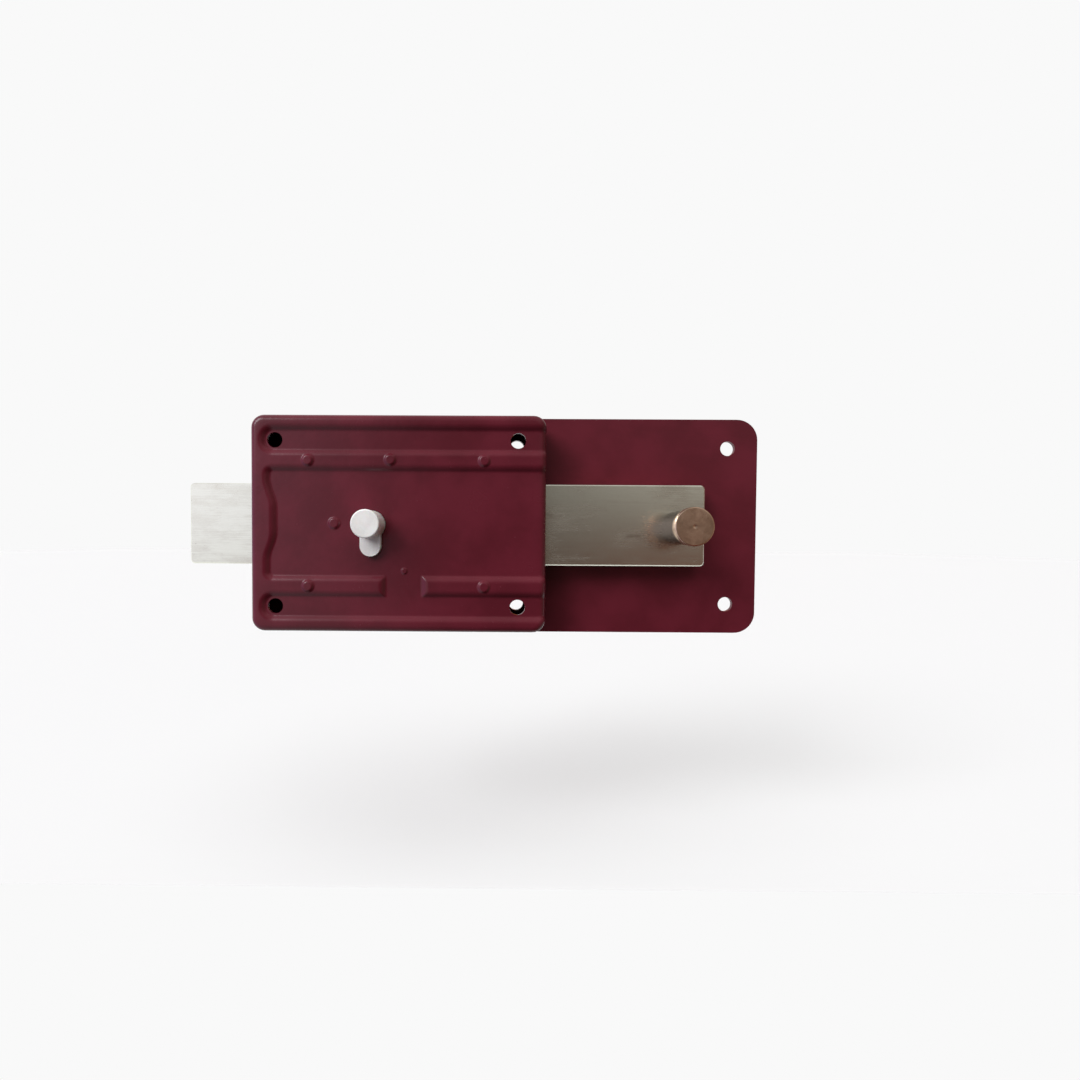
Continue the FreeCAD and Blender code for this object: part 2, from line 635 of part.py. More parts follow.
def build_release_button():
    """Moulded push button: a tall round head with a low lobe, and a flange inside the cover."""
    head = disc(BUTTON_X, BUTTON_Z, BUTTON, flange_bottom, button_face)
    head = head.makeFillet(BUTTON_EDGE, level_edges(head, button_face))
    step = prism(keyhole(0), flange_bottom, low_face + LOBE_RISE)
    flange = prism(keyhole(BUTTON_PLAY + FLANGE_OVERLAP), flange_bottom, flange_top)
    lever_edge = LEVER_PIVOT[1] + FREE + LEVER_BAR / 5
    near = -bolt_edge_z - FREE
    reach = lever_edge + RUNNING * 2
    drop = near - reach
    tip = lever_top - drop / RAMP_SLOPE
    far = reach - RAMP_SLOPE * (flange_top - lever_top)
    half = RAMP_WIDTH / 2
    arm = block(BUTTON_X - half, BUTTON_X + half, far, lobe_z, flange_bottom, flange_top)
    ramp = Part.Face(Part.makePolygon([
        Vector(BUTTON_X - half, level_y(tip), near), Vector(BUTTON_X - half, level_y(flange_top), near),
        Vector(BUTTON_X - half, level_y(flange_top), far), Vector(BUTTON_X - half, level_y(tip), near)]))
    wedge = ramp.extrude(Vector(RAMP_WIDTH, 0, 0))
    inner = Part.Face(Part.makePolygon([
        Vector(BUTTON_X - half, level_y(flange_bottom), far),
        Vector(BUTTON_X - half, level_y(flange_bottom), far + RAMP_SLOPE * FLANGE),
        Vector(BUTTON_X - half, level_y(flange_top), far),
        Vector(BUTTON_X - half, level_y(flange_bottom), far)])).extrude(Vector(RAMP_WIDTH, 0, 0))
    return head.fuse([step, flange, arm.cut(inner), wedge]).removeSplitter()


def build_button_spring():
    """Leaf spring riveted to the cover, bearing on the button's flange from inside."""
    rivet_x, rivet_z = FIELD_DIMPLES[1]
    left = rivet_x - LEAF_WIDTH / 2
    bend = rivet_x + LEAF_WIDTH / 2
    right = BUTTON_X + BUTTON / 4
    high = ceiling
    low = flange_bottom - FREE
    outline = [(left, high), (bend, high), (bend + LEAF_STEP, low), (right, low),
               (right, low - LEAF), (bend + LEAF_STEP - LEAF / 2, low - LEAF),
               (bend - LEAF / 2, high - LEAF), (left, high - LEAF), (left, high)]
    side = rivet_z - LEAF_WIDTH / 2
    face = Part.Face(Part.makePolygon([Vector(x, level_y(level), side) for x, level in outline]))
    leaf = face.extrude(Vector(0, 0, LEAF_WIDTH))
    return leaf.cut(disc(rivet_x, rivet_z, RIVET + 2 * SEAT, 0, ceiling + OVER))


def build_spring_rivet():
    x, z = FIELD_DIMPLES[1]
    under = ceiling - LEAF
    stem = disc(x, z, RIVET, under - RIVET_HEAD_THICK, low_face - SHEET / 2)
    head = disc(x, z, RIVET_HEAD, under - RIVET_HEAD_THICK, under)
    return stem.fuse(head).removeSplitter()


def build_lever_pivot():
    x, z = LEVER_PIVOT
    post = disc(x, z, PIVOT_PIN, 0, lever_level)
    neck = disc(x, z, PIVOT_NECK, lever_level - OVER, low_face - SHEET / 2)
    low = lever_top + FREE / 3
    groove = disc(x, z, PIVOT_PIN, low, low + CLIP_THICK + 2 * SEAT)
    groove = groove.cut(disc(x, z, PIVOT_NECK - 0.8, 0, CASE_DEPTH))
    return post.fuse(neck).cut(groove).removeSplitter()


def build_lever_clip():
    x, z = LEVER_PIVOT
    low = lever_top + FREE / 3 + SEAT
    return open_ring(x, z, PIVOT_NECK * 2, PIVOT_NECK - 0.8 + 2 * SEAT, PIVOT_NECK * 0.6,
                     low, low + CLIP_THICK)


def build_locking_lever():
    """Flat latch lever: an eye on its pivot, and a bar under the bolt's lower edge."""
    x, z = LEVER_PIVOT
    top = z + FREE + LEVER_BAR / 5
    bottom = top - LEVER_BAR
    end = latch_x - LATCH_PIN
    bar = prism(rounded([(end, bottom, 2.5), (x, bottom, 0), (x, top, 0), (end, top, 2.5)]),
                lever_level, lever_top)
    eye = disc(x, z, LEVER_EYE, lever_level, lever_top)
    cuts = [disc(x, z, PIVOT_NECK + 2 * RUNNING, 0, CASE_DEPTH),
            disc(latch_x, latch_z, LATCH_NECK + 2 * SEAT, 0, CASE_DEPTH)]
    return bar.fuse(eye).removeSplitter().cut(cuts)


def build_latch_pin():
    pin = disc(latch_x, latch_z, LATCH_PIN, BOLT_LIFT + FREE, lever_level)
    neck = disc(latch_x, latch_z, LATCH_NECK, lever_level - OVER, lever_top)
    return pin.fuse(neck).removeSplitter()


def build_lever_spring():
    """Leaf looped round a pillar: one leg bears on the case wall, the other lifts the lever."""
    x = -PILLAR_SPAN / 2
    z = -PILLAR_RISE / 2
    loop = PILLAR / 2 + FREE / 2 + LEVER_LEAF / 2
    lever_bottom = LEVER_PIVOT[1] + FREE + LEVER_BAR / 5 - LEVER_BAR
    level = lever_bottom - FREE / 2 - LEVER_LEAF / 2
    tip = Vector(latch_x, 0, level)
    bend = Vector(latch_x - LATCH_PIN - LEVER_LEAF_WIDTH / 2, 0, level)
    foot = Vector(latch_x, 0, -CASE_HEIGHT / 2 + SHEET + FREE / 2 + LEVER_LEAF)
    centre = Vector(x, 0, z)
    upper = tangent_point(centre, loop, bend, 1)
    lower = tangent_point(centre, loop, foot, -1)
    wire = Part.Wire([Part.LineSegment(tip, bend).toShape(),
                      Part.LineSegment(bend, upper).toShape(),
                      Part.Arc(upper, centre + Vector(-loop, 0, 0), lower).toShape(),
                      Part.LineSegment(lower, foot).toShape()])
    outline = wire.makeOffset2D(LEVER_LEAF / 2)
    return prism(outline, lever_level, lever_level + LEVER_LEAF_WIDTH)


def tangent_point(centre, radius, outside, side):
    """Where a line from an outside point touches a circle; side +1 is the upper one."""
    away = outside - centre
    turn = math.acos(radius / away.Length)
    angle = math.atan2(away.z, away.x) + side * turn
    return centre + Vector(radius * math.cos(angle), 0, radius * math.sin(angle))


def build_blank_label():
    x, z = LABEL_CORNER
    sheet = rectangle(x - LABEL_LENGTH, x, z - LABEL_HEIGHT, z)
    label = prism(sheet, -PLATE_THICK - LABEL_THICK, -PLATE_THICK)
    label.rotate(Vector(x, 0, z), Vector(0, 1, 0), LABEL_TILT)
    return label


def build_all():
    pieces = {
        "back_plate": build_back_plate(),
        "case_cover": build_case_cover(),
        "plate_screws": build_plate_screws(),
        "bolt": build_bolt(),
        "bolt_knob": build_bolt_knob(),
        "guide_pin": build_guide_pin(),
        "cylinder_body": build_cylinder_body(),
        "cylinder_plug": build_cylinder_plug(),
        "cylinder_screws": build_cylinder_screws(),
        "plug_cam": build_plug_cam(),
        "cam_clip": build_cam_clip(),
        "release_button": build_release_button(),
        "button_spring": build_button_spring(),
        "spring_rivet": build_spring_rivet(),
        "locking_lever": build_locking_lever(),
        "latch_pin": build_latch_pin(),
        "lever_pivot": build_lever_pivot(),
        "lever_clip": build_lever_clip(),
        "lever_spring": build_lever_spring(),
        "blank_label": build_blank_label(),
    }
    for index, (x, z) in enumerate(pillar_places()):
        pieces["cover_pillar_" + str(index + 1)] = build_cover_pillar(x, z)
    for index in range(PINS):
        place = str(index + 1)
        pieces["bottom_pin_" + place] = build_bottom_pin(index)
        pieces["driver_pin_" + place] = build_driver_pin(index)
        pieces["pin_spring_" + place] = build_pin_spring(index)
        pieces["chamber_cap_" + place] = build_chamber_cap(index)
    return pieces


os.makedirs("parts", exist_ok=True)
for name, shape in build_all().items():
    shape.exportStep("parts/" + name + ".step")
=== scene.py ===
import math

import bmesh
import bpy
import numpy as np
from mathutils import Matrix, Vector
from mathutils.geometry import delaunay_2d_cdt


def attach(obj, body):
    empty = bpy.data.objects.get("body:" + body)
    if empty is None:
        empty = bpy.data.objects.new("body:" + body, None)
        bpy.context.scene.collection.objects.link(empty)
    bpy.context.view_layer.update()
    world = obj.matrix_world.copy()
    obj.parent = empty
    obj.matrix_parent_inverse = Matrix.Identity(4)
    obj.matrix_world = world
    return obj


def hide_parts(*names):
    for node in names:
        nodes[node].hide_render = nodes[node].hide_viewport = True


# The part comes in as packed: a rim lock whose flat bolt slides in a pressed steel case.
# X runs along the bolt, Y into the door and Z up, in metres. Sizes below are in millimetres
# and become metres where a mesh is made, but for the floor's sides and the camera's place.
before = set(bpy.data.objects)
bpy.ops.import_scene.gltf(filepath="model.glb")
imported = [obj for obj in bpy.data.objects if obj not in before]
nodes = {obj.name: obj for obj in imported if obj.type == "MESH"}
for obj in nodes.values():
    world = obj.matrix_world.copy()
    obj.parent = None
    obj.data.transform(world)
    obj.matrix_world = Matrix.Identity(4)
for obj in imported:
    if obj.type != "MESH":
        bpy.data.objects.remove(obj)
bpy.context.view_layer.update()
MM = 0.001


# Back plate. Flat 2.3 mm sheet steel with a fired coat of dark red enamel on both faces. It is
# punched for the door screws, the cover's tabs, the key cylinder and the bolt's guide pin.
class Reading:
    """One output of a finish's nodes; sums and products on it add Math nodes."""

    def __init__(self, finish, socket):
        self.finish = finish
        self.socket = socket

    def worked(self, operation, first, second=0.0):
        return self.finish.node("ShaderNodeMath", {"operation": operation}, {0: first, 1: second})

    def __add__(self, other):
        return self.worked("ADD", self, other)

    __radd__ = __add__

    def __sub__(self, other):
        return self.worked("SUBTRACT", self, other)

    def __rsub__(self, other):
        return self.worked("SUBTRACT", other, self)

    def __mul__(self, other):
        return self.worked("MULTIPLY", self, other)

    def __pow__(self, other):
        return self.worked("POWER", self, other)

    def wave(self):
        return self.worked("SINE", self)

    def size(self):
        return self.worked("ABSOLUTE", self)

    def below(self, other):
        return self.worked("LESS_THAN", self, other)

    def ramp(self, low, high, start=0.0, end=1.0):
        """Smooth climb from start to end as this reading goes from low to high."""
        return self.finish.node("ShaderNodeMapRange", {"interpolation_type": "SMOOTHSTEP"},
                                {0: self, 1: low, 2: high, 3: start, 4: end})


def linear(red, green, blue):
    """Colour as the scene holds it, from the 0 to 255 values of a picture."""
    parts = []
    for value in (red, green, blue):
        share = value / 255
        parts.append(share / 12.92 if share <= 0.04045 else ((share + 0.055) / 1.055) ** 2.4)
    return (*parts, 1.0)


class Nodes:
    """A tree of shader nodes, which reads directions or places through its own axes."""

    def __init__(self, tree, place):
        self.tree = tree
        self.place = self.node("ShaderNodeTexCoord", output=place)

    def node(self, kind, settings=None, inputs=None, output=0):
        made = self.tree.nodes.new(kind)
        for setting, value in (settings or {}).items():
            setattr(made, setting, value)
        for socket, value in (inputs or {}).items():
            self.feed(value, made.inputs[socket])
        return Reading(self, made.outputs[output])

    def feed(self, value, socket):
        if isinstance(value, Reading):
            self.tree.links.new(value.socket, socket)
        else:
            socket.default_value = value

    def axis(self, letter, place=None):
        """The place, or another vector, along X, Y or Z."""
        return self.node("ShaderNodeSeparateXYZ", None, {0: place or self.place}, letter)

    def blend(self, share, first, second):
        """Colour between two others."""
        made = self.tree.nodes.new("ShaderNodeMix")
        made.data_type = "RGBA"
        made.clamp_factor = True
        for index, value in ((0, share), (6, first), (7, second)):
            self.feed(value, made.inputs[index])
        return Reading(self, made.outputs[2])


class Finish(Nodes):
    """A material on the ordinary surface shader, measured in millimetres of the part."""

    def __init__(self, name, **constants):
        self.material = bpy.data.materials.new(name)
        self.material.use_nodes = True
        super().__init__(self.material.node_tree, "Object")
        self.surface = self.tree.nodes["Principled BSDF"]
        for socket, value in constants.items():
            self.surface.inputs[socket.replace("_", " ")].default_value = value
        self.place = self.node("ShaderNodeVectorMath", {"operation": "SCALE"},
                               {0: self.place, "Scale": 1 / MM})

    def grain(self, size, detail=3.0, rough=0.55, stretch=(1, 1, 1)):
        """Cloudy noise from 0 to 1, with lumps of this size in millimetres."""
        place = self.place
        if stretch != (1, 1, 1):
            place = self.node("ShaderNodeVectorMath", {"operation": "MULTIPLY"},
                              {0: place, 1: [1 / share for share in stretch]})
        return self.node("ShaderNodeTexNoise", None, {"Vector": place, "Scale": 1 / size,
                                                      "Detail": detail, "Roughness": rough})

    def wears(self, colour=None, roughness=None, relief=None, depth=0.05):
        """Feeds the surface; depth is the relief's height in millimetres."""
        if relief is not None:
            normal = self.node("ShaderNodeBump", None, {"Height": relief, "Distance": depth * MM,
                                                        "Strength": 1.0})
            self.feed(normal, self.surface.inputs["Normal"])
        for socket, value in (("Base Color", colour), ("Roughness", roughness)):
            if value is not None:
                self.feed(value, self.surface.inputs[socket])
        return self.material


def dress(material, *names):
    """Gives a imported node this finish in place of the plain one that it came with."""
    for name in names:
        nodes[name].data.materials.clear()
        nodes[name].data.materials.append(material)


ENAMEL = linear(98, 29, 42)
ENAMEL_DEEP = linear(86, 24, 35)
ENAMEL_WORN = linear(118, 52, 62)


def enamel(name, light, dark, gloss):
    """Fired enamel with a faint ripple, small specks of dust in it and a duller mottle."""
    finish = Finish(name, IOR=1.38)
    mottle = finish.grain(26, 4)
    specks = finish.grain(0.9, 2, 0.6)
    dust = specks.ramp(0.70, 0.78)
    colour = finish.blend(mottle.ramp(0.35, 0.65), dark, light)
    colour = finish.blend(dust * 0.35, colour, ENAMEL_WORN)
    ripple = finish.grain(3.2, 2, 0.4) * 0.7 + specks * 0.12
    return finish.wears(colour, gloss + mottle * 0.08 + dust * 0.2, ripple, depth=0.04)


plate_enamel = enamel("plate_enamel", ENAMEL, ENAMEL_DEEP, gloss=0.28)
dress(plate_enamel, "back_plate")


# Case cover. One sheet of 1.5 mm steel, deep drawn into a box with rounded shoulders, enamelled.
# Two channels for the door screws and the wide middle field are pressed 1.5 mm lower, and small
# swellings stand over the riveted ends inside. Four tabs hold it in the plate's slits.
SHEET = 1.5
CASE_X = (-66.65, 68.55)
CASE_HALF = 49.6
CASE_TOP = 20.8
CASE_CORNER = 6.0
SHOULDER = 3.0
PLATE = 2.3
LOW = 1.5
SLOPE = (-1.9, 1.5)           # where a pressed slope ends and begins, from the area's outline
SLOPE_FOOT = 0.88
ROW = 37.95                   # height of the channels' middle, and of the door screws
CHANNEL_HALF = 6.0
CHANNEL_ROUND = 5.4
CHANNEL_END = -61.55
FIELD_HALF = 25.45
FIELD_LEFT = -59.65
FIELD_ROUND = 3.0
SWELL = 3.2                   # the raised border at the bolt's end widens by this much
SWELL_SPAN = ((7.5, 20.5), (-17.0, -4.0))
SWELL_LEAN = 0.93             # keeps distances true where that border's edge runs askew
GAP = (-6.4, 13.3)            # where the lower band is broken
GAP_REACH = 4.0
GAP_ROUND = 0.5
MOUTH_HALF = 19.3
MOUTH_LEVEL = 11.3
FIXING = (55.55, ROW)
HOLE = 7.0
# Each dimple's place and its size as a share of the largest
DIMPLES = ((-40.15, 28.65, 1.0), (40.15, 28.65, 1.0), (-40.15, -28.65, 1.0),
           (40.15, -28.65, 1.0), (-2.6, 29.0, 1.0), (-28.5, 0.1, 1.0), (3.7, -21.6, 0.55))
DIMPLE = (1.7, 3.1)
DIMPLE_RISE = 0.8
DIMPLE_CLEAR = 0.6            # kept free of the grid round a dimple, which has rings of its own
RING_SPAN = (1.2, 0.5)        # how far those rings reach inside and outside the dimple's slope
RING_STEP = 0.3
RING_POINTS = 44
GRIDS = ((0.45, True), (2.6, False))     # pitch of the fine grid on slopes, and of the wide one
GRID_INSET = (0.3, 0.2)
FINE_MARGIN = 0.95
HOLE_CLEAR = 0.3
EDGE_CLEAR = 0.35
EDGE_STEP = 0.7
CORNER_STEPS = 7
BENDS = 6                     # steps round the shoulder
MERGED = 0.05                 # places nearer than this are one
SAME = 1e-5
STRAIGHT = 0.99
BUTTON_AT = (-11.5, -0.4)
BUTTON_HOLE = 6.6
LOBE_HOLE = 4.95
LOBE_DROP = 9.8


def smooth(value):
    """Soft climb from 0 to 1."""
    share = np.clip(value, 0.0, 1.0)
    return share * share * (3 - 2 * share)


def pressed(share):
    """Depth of a pressed slope: it leaves the face softly and meets its floor in a small round."""
    share = np.clip(share, 0.0, 1.0) / SLOPE_FOOT
    foot = SLOPE_FOOT ** 2 / (1 - SLOPE_FOOT ** 2) * (1 / SLOPE_FOOT - share) ** 2
    return np.where(share < SLOPE_FOOT, share ** 2, 1 - foot)


def box_distance(across, up, corner):
    """Distance outside a corner, from how far a place lies past each of its two sides."""
    past_x = across + corner
    past_z = up + corner
    outer = np.hypot(np.maximum(past_x, 0), np.maximum(past_z, 0))
    return outer + np.minimum(np.maximum(past_x, past_z), 0) - corner


def low_places(x, z):
    """Distances to the four pressed areas, negative inside them."""
    upper = box_distance(CHANNEL_END - x, np.abs(z - ROW) - CHANNEL_HALF, CHANNEL_ROUND)
    lower = box_distance(CHANNEL_END - x, np.abs(z + ROW) - CHANNEL_HALF, CHANNEL_ROUND)
    (top_low, top_high), (foot_low, foot_high) = SWELL_SPAN
    above = smooth((top_high - z) / (top_high - top_low))
    below = smooth((z - foot_low) / (foot_high - foot_low))
    border = FIELD_LEFT + SWELL * (above * below)
    field = box_distance((border - x) * SWELL_LEAN, np.abs(z) - FIELD_HALF, FIELD_ROUND)
    middle = -(ROW + FIELD_HALF) / 2
    half = (ROW - FIELD_HALF) / 2 + GAP_REACH
    past = np.abs(x - sum(GAP) / 2) - (GAP[1] - GAP[0]) / 2
    gap = box_distance(past, np.abs(z - middle) - half, GAP_ROUND)
    return upper, lower, field, gap


def cover_level(x, z):
    """Level of the cover's outer face above the plate."""
    sunk = np.zeros_like(x)
    for distance in low_places(x, z):
        sunk = np.maximum(sunk, pressed((SLOPE[1] - distance) / (SLOPE[1] - SLOPE[0])))
    level = CASE_TOP - LOW * sunk
    for dimple_x, dimple_z, share in DIMPLES:
        reach = np.hypot(x - dimple_x, z - dimple_z) / share
        rise = smooth((DIMPLE[1] - reach) / (DIMPLE[1] - DIMPLE[0]))
        level = level + DIMPLE_RISE * share * rise
    return level


def cover_loop():
    """Points and outward directions once round the cover, where its face meets the shoulder."""
    inner = CASE_CORNER - SHOULDER
    left = CASE_X[0] + SHOULDER
    right = CASE_X[1] - SHOULDER
    half = CASE_HALF - SHOULDER

    def run(start, end):
        count = max(1, round(abs(end - start) / EDGE_STEP))
        return [start + (end - start) * index / count for index in range(count)]

    rises = (run(-half + inner, -MOUTH_HALF) + run(-MOUTH_HALF, MOUTH_HALF)
             + run(MOUTH_HALF, half - inner))
    points = [(right, z, 1.0, 0.0) for z in rises]
    corners = ((right - inner, half - inner, 0), (left + inner, half - inner, 90),
               (left + inner, -half + inner, 180), (right - inner, -half + inner, 270))
    sides = ([(x, half, 0.0, 1.0) for x in run(right - inner, left + inner)],
             [(left, -z, -1.0, 0.0) for z in rises],
             [(x, -half, 0.0, -1.0) for x in run(left + inner, right - inner)], [])
    for (corner_x, corner_z, start), side in zip(corners, sides):
        for turn in range(CORNER_STEPS):
            angle = math.radians(start + 90 * turn / CORNER_STEPS)
            out_x = math.cos(angle)
            out_z = math.sin(angle)
            points.append((corner_x + inner * out_x, corner_z + inner * out_z, out_x, out_z))
        points.extend(side)
    kept = []
    for point in points:
        if not kept or math.hypot(point[0] - kept[-1][0], point[1] - kept[-1][1]) > MERGED:
            kept.append(point)
    return kept


def ring(x, z, radius, count=48, start=0.0, sweep=360.0):
    """Points round a circle, or along a part of it."""
    whole = sweep >= 360
    steps = count if whole else count - 1
    angles = [math.radians(start + sweep * index / steps) for index in range(count)]
    return [(x + radius * math.cos(angle), z + radius * math.sin(angle)) for angle in angles]


def button_opening():
    """Outline of the hole for the button: a round head with a narrower round lobe below it."""
    x, z = BUTTON_AT
    meet = math.degrees(math.acos(LOBE_HOLE / BUTTON_HOLE))
    head = ring(x, z, BUTTON_HOLE, count=36, start=-meet, sweep=180 + 2 * meet)
    return head + ring(x, z - LOBE_DROP, LOBE_HOLE, count=24, start=180, sweep=180)


def inside(outline, x, z):
    """Whether each place lies inside a closed outline."""
    crossed = np.zeros(len(x), bool)
    for (x0, z0), (x1, z1) in zip(outline, outline[1:] + outline[:1]):
        if z0 != z1:
            spans = (z0 > z) != (z1 > z)
            crossed ^= spans & (x < (x1 - x0) * (z - z0) / (z1 - z0) + x0)
    return crossed


def near(outline, x, z, reach):
    """Whether each place lies within reach of an outline's points."""
    points = np.array(outline)
    close = np.zeros(len(x), bool)
    batch = 64
    for start in range(0, len(points), batch):
        part = points[start:start + batch]
        gap = np.hypot(x[:, None] - part[:, 0], z[:, None] - part[:, 1]).min(1)
        close |= gap < reach
    return close


def grid_places(edge, holes):
    """Places on the cover's face: fine on the slopes, wide on the flats, in rings at a dimple."""
    rows = []
    first, last = GRID_INSET
    for pitch, fine in GRIDS:
        across = np.arange(CASE_X[0] + SHOULDER + first, CASE_X[1] - SHOULDER - last, pitch)
        up = np.arange(-CASE_HALF + SHOULDER + first, CASE_HALF - SHOULDER - last, pitch)
        x, z = (grid.ravel() for grid in np.meshgrid(across, up))
        busy = np.zeros(len(x), bool)
        for distance in low_places(x, z):
            busy |= (distance > SLOPE[0] - FINE_MARGIN) & (distance < SLOPE[1] + FINE_MARGIN)
        keep = busy if fine else ~busy
        for dimple_x, dimple_z, _ in DIMPLES:
            keep &= np.hypot(x - dimple_x, z - dimple_z) > DIMPLE[1] + DIMPLE_CLEAR
        for outline in holes:
            keep &= ~inside(outline, x, z)
            keep &= ~near(outline, x, z, HOLE_CLEAR)
        keep &= inside(edge, x, z) & ~near(edge, x, z, EDGE_CLEAR)
        rows.append(np.stack([x[keep], z[keep]], 1))
    for dimple_x, dimple_z, share in DIMPLES:
        for radius in np.arange(DIMPLE[0] - RING_SPAN[0], DIMPLE[1] + RING_SPAN[1], RING_STEP):
            rows.append(np.array(ring(dimple_x, dimple_z, radius * share, RING_POINTS)))
    return np.concatenate(rows)


def flat_triangles(outlines, places):
    """Corners and triangles of a flat sheet: the first outline is its edge, the rest its holes."""
    points = [Vector(point) for outline in outlines for point in outline]
    edges = []
    start = 0
    for outline in outlines:
        count = len(outline)
        edges.extend((start + index, start + (index + 1) % count) for index in range(count))
        start += count
    points.extend(Vector(point) for point in places)
    placed, _, triangles, *_ = delaunay_2d_cdt(points, edges, [], 1, SAME, False)
    x = np.array([point[0] for point in placed])
    z = np.array([point[1] for point in placed])
    faces = np.array([list(face) for face in triangles])
    middle_x = x[faces].mean(1)
    middle_z = z[faces].mean(1)
    gone = np.zeros(len(faces), bool)
    for outline in outlines[1:]:
        gone |= inside(outline, middle_x, middle_z)
    faces = faces[~gone]
    sense = (x[faces[:, 1]] - x[faces[:, 0]]) * (z[faces[:, 2]] - z[faces[:, 0]])
    sense = sense - (x[faces[:, 2]] - x[faces[:, 0]]) * (z[faces[:, 1]] - z[faces[:, 0]])
    faces[sense < 0] = faces[sense < 0][:, ::-1]
    return x, z, faces


def wall_profile(top):
    """Outward steps and levels down the outside of the cover's wall and up its inside."""
    angles = [math.pi / 2 * bend / BENDS for bend in range(1, BENDS + 1)]
    centre = top - SHOULDER
    outside = [(SHOULDER * math.sin(a), centre + SHOULDER * math.cos(a)) for a in angles]
    foot = [(SHOULDER, MOUTH_LEVEL), (SHOULDER, 0), (SHEET, 0), (SHEET, MOUTH_LEVEL)]
    return outside + foot + [(SHEET * math.sin(a), centre + SHEET * math.cos(a))
                             for a in reversed(angles)]


def build_cover():
    """The whole sheet: face and holes, shoulders, walls, and the bolt's mouths at both ends."""
    loop = cover_loop()
    edge = [(x, z) for x, z, _, _ in loop]
    holes = [ring(x, z, HOLE / 2)
             for x in (-FIXING[0], FIXING[0]) for z in (-FIXING[1], FIXING[1])]
    holes.append(button_opening())
    x, z, faces = flat_triangles([edge] + holes, grid_places(edge, holes))
    level = cover_level(x, z)
    mesh = bmesh.new()

    def vertex(at_x, at_z, at_level):
        return mesh.verts.new((at_x * MM, -(PLATE + at_level) * MM, at_z * MM))

    outer = [vertex(*place) for place in zip(x, z, level)]
    under = [vertex(*place) for place in zip(x, z, level - SHEET)]
    for a, b, c in faces:
        mesh.faces.new((outer[a], outer[b], outer[c]))
        mesh.faces.new((under[c], under[b], under[a]))
    index_of = {(round(px, 3), round(pz, 3)): index for index, (px, pz) in enumerate(zip(x, z))}

    def found(outline):
        return [index_of[(round(px, 3), round(pz, 3))] for px, pz in outline]

    for outline in holes:
        around = found(outline)
        for a, b in zip(around, around[1:] + around[:1]):
            mesh.faces.new((outer[a], under[a], under[b], outer[b]))
    columns = []
    for (at_x, at_z, out_x, out_z), index in zip(loop, found(edge)):
        column = [outer[index]]
        column += [vertex(at_x + out_x * out, at_z + out_z * out, up)
                   for out, up in wall_profile(float(level[index]))]
        columns.append(column + [under[index]])
    lip = BENDS + 1
    inner_lip = lip + 3
    for here in range(len(columns)):
        there = (here + 1) % len(columns)
        a, b = columns[here], columns[there]
        height = abs(loop[here][1] + loop[there][1]) / 2
        open_here = abs(loop[here][2]) > STRAIGHT and height < MOUTH_HALF
        for row in range(len(a) - 1):
            if open_here and lip <= row < inner_lip:
                continue
            mesh.faces.new((a[row], a[row + 1], b[row + 1], b[row]))
        if open_here:
            mesh.faces.new((a[lip], a[inner_lip], b[inner_lip], b[lip]))
        for end, column in ((here, a), (there, b)):
            if open_here and abs(abs(loop[end][1]) - MOUTH_HALF) < MERGED:
                jamb = column[lip:inner_lip + 1]
                mesh.faces.new(jamb if (end == here) else jamb[::-1])
    loose = [v for v in mesh.verts if not v.link_faces]
    bmesh.ops.delete(mesh, geom=loose, context="VERTS")
    bmesh.ops.recalc_face_normals(mesh, faces=mesh.faces)
    return mesh


def placed_piece(name, mesh, body, material, crease=35.0):
    """Turns a bmesh into a piece that rides on a body; edges sharper than crease stay sharp."""
    data = bpy.data.meshes.new(name)
    mesh.to_mesh(data)
    mesh.free()
    piece = bpy.data.objects.new(name, data)
    bpy.context.scene.collection.objects.link(piece)
    data.materials.append(material)
    data.shade_smooth()
    data.set_sharp_from_angle(angle=math.radians(crease))
    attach(piece, body)
    return piece


cover_enamel = enamel("cover_enamel", ENAMEL, ENAMEL_DEEP, gloss=0.22)
pressed_cover = placed_piece("pressed_cover", build_cover(), "lock_case",
                             cover_enamel, crease=40)
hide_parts("case_cover")

TAB_X = ((-65.65, -64.15), (67.05, 68.55))
TAB_Z = 28.6
TAB_RISE = 10.9
TAB_BREAK = 0.15
tabs = bmesh.new()
for low_x, high_x in TAB_X:
    for tab_z in (-TAB_Z, TAB_Z):
        made = bmesh.ops.create_cube(tabs, size=1.0)["verts"]
        for v in made:
            v.co.x = ((low_x + high_x) / 2 + v.co.x * (high_x - low_x)) * MM
            v.co.y = (-PLATE / 2 + v.co.y * PLATE) * MM
            v.co.z = (tab_z + v.co.z * TAB_RISE) * MM
bmesh.ops.bevel(tabs, geom=tabs.edges[:], offset=TAB_BREAK * MM, segments=2, affect="EDGES")
placed_piece("cover_tabs", tabs, "lock_case", cover_enamel)


# Pillars and plate screws. Four turned steel pillars are riveted into the cover from inside, and
# four zinc plated countersunk screws draw the plate against them from the door side.
ZINC = linear(190, 184, 182)
ZINC_DULL = linear(140, 134, 132)
WORKS = linear(120, 116, 108)
WORKS_DARK = linear(70, 66, 60)
# Painted shade colour for the screw heads' rims and recesses
RECESS_SHADE = linear(38, 34, 34)
SCREW_AT = (40.15, 28.65)
SCREW_RIM_SHADE = (2.95, 3.3)
SCREW_RECESS_SHADE = (-0.12, -0.5)


def film(finish, cloud_size, mark_size, light, dark, gloss):
    """Colour, roughness and relief of a cloudy film over fine tool marks."""
    cloud = finish.grain(cloud_size, 4, 0.6)
    fine = finish.grain(mark_size, 2, 0.7)
    colour = finish.blend((cloud * 0.7 + fine * 0.4).ramp(0.35, 0.75), light, dark)
    return colour, gloss + cloud * 0.15 + fine * 0.08, fine + cloud * 0.5


